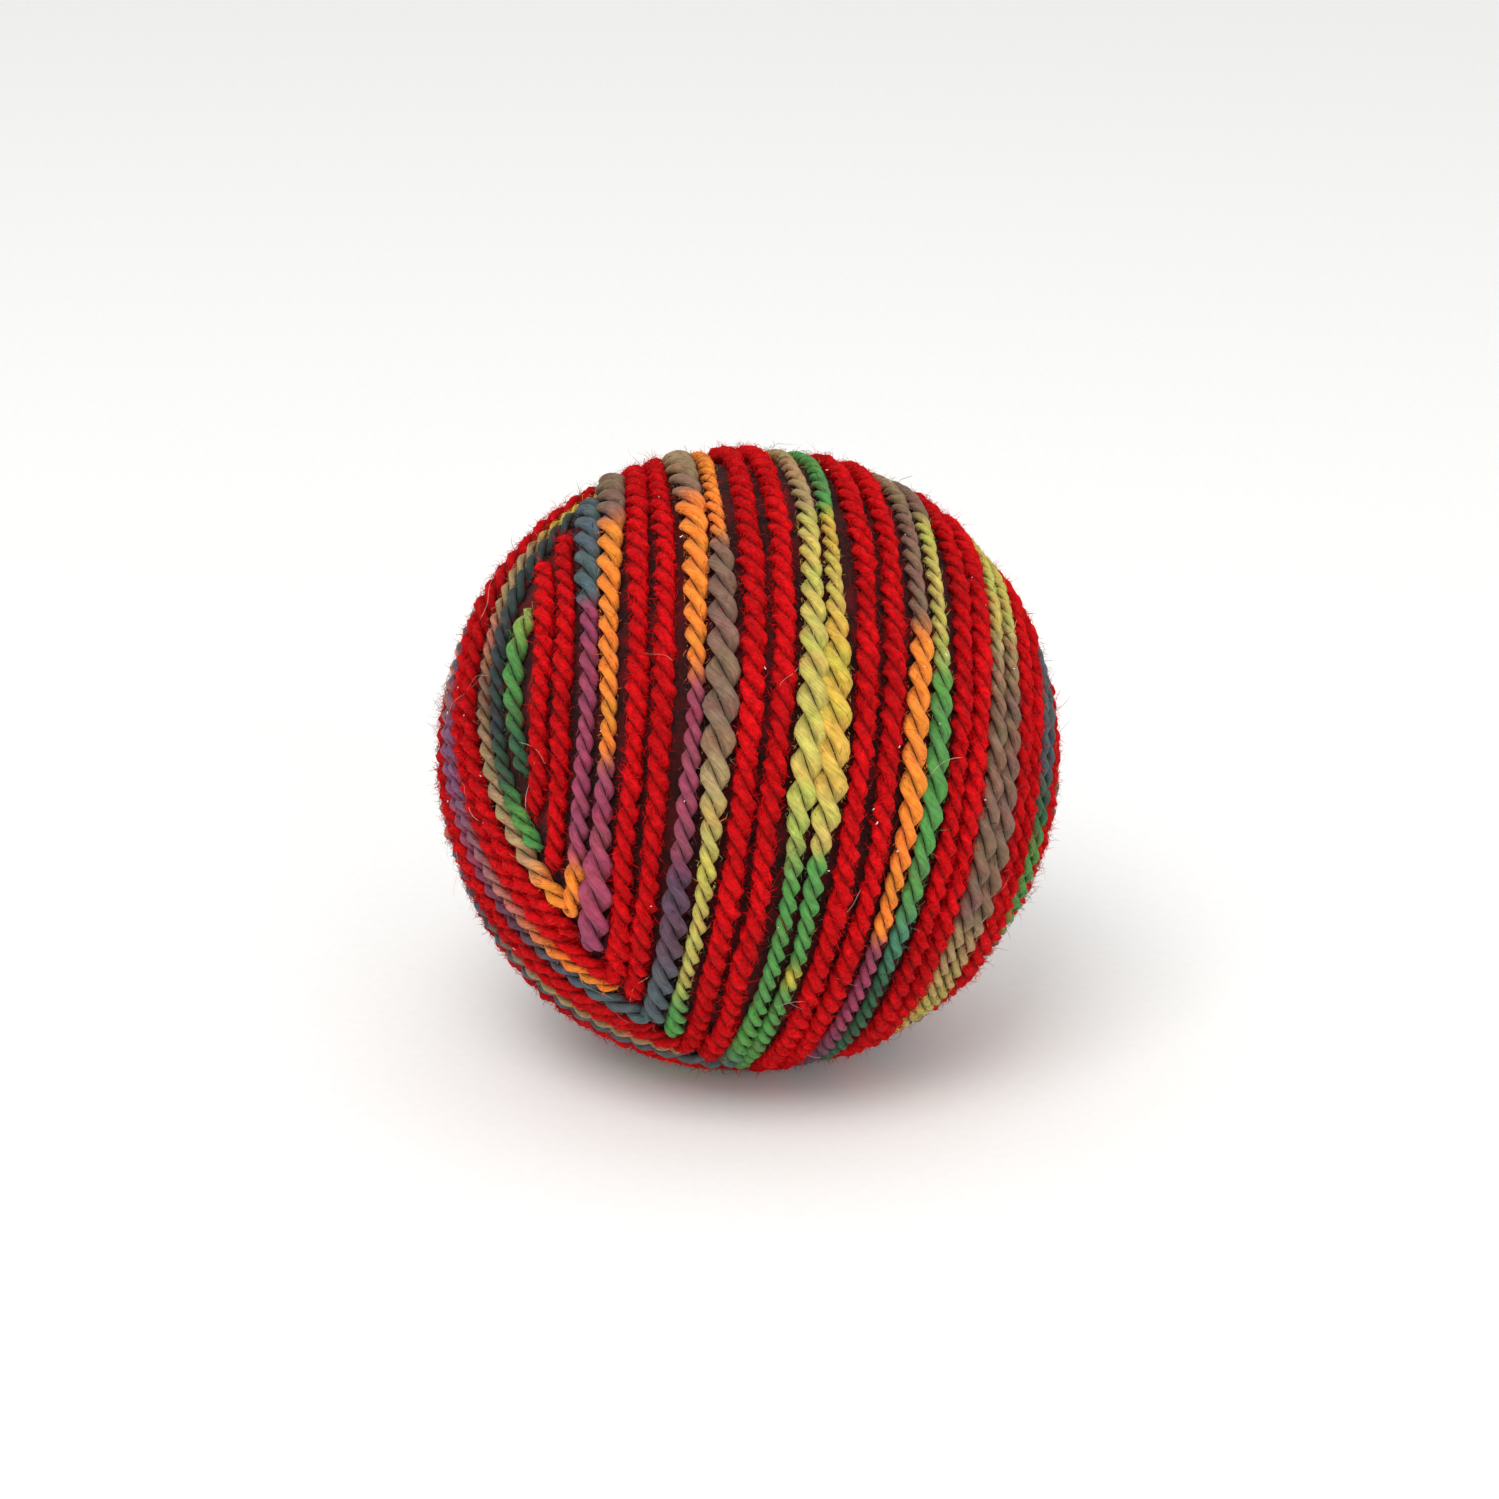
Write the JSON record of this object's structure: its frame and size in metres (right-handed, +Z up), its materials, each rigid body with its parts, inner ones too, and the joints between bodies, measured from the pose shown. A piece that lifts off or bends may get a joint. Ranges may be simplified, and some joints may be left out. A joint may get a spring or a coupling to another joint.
{
  "type": "juggling ball",
  "caption": "Soft round juggling ball covered with thick and thin wool yarn laid in a spiral of eye-shaped rounds, red alternating with changing colours, flattened a little where it rests.",
  "frame": {"origin": "centre of the flat patch that the ball rests on", "axes": "+Z up through the ball's centre; -Y is the front, where the start of the yarn spiral lies to the left; +X right"},
  "size_m": [0.065, 0.065, 0.064],
  "materials": {
    "grain": "dry matt",
    "pouch_cloth": "plain cotton",
    "tie_cord": "cotton cord",
    "wadding": "soft wadding",
    "felt": "fuzzy wool felt",
    "seam_thread": "sewing thread",
    "red_yarn": "fuzzy wool yarn",
    "space_dyed_yarn": "slubby wool yarn in changing colours"
  },
  "bodies": {
    "root": {"grain_filling": "grain", "inner_pouch": "pouch_cloth", "pouch_tie": "tie_cord", "padding_wrap": "wadding", "felt_cup_upper": "felt", "felt_cup_lower": "felt", "felt_seam_thread": "seam_thread", "yarn_tail": "space_dyed_yarn", "yarn_start_inner": "red_yarn", "yarn_start_outer": "red_yarn", "yarn_multi_1": "space_dyed_yarn", "yarn_red_1": "red_yarn", "yarn_multi_2": "space_dyed_yarn", "yarn_red_2": "red_yarn", "yarn_multi_3": "space_dyed_yarn", "yarn_red_3": "red_yarn", "yarn_multi_4": "space_dyed_yarn", "yarn_red_4": "red_yarn", "yarn_multi_right_1": "space_dyed_yarn", "yarn_red_right_1": "red_yarn", "yarn_multi_right_2": "space_dyed_yarn", "yarn_red_right_2": "red_yarn", "yarn_multi_right_3": "space_dyed_yarn", "yarn_red_right_centre": "red_yarn", "yarn_multi_left_1": "space_dyed_yarn", "yarn_red_left": "red_yarn", "yarn_multi_left_centre": "space_dyed_yarn"}
  },
  "joints": []
}
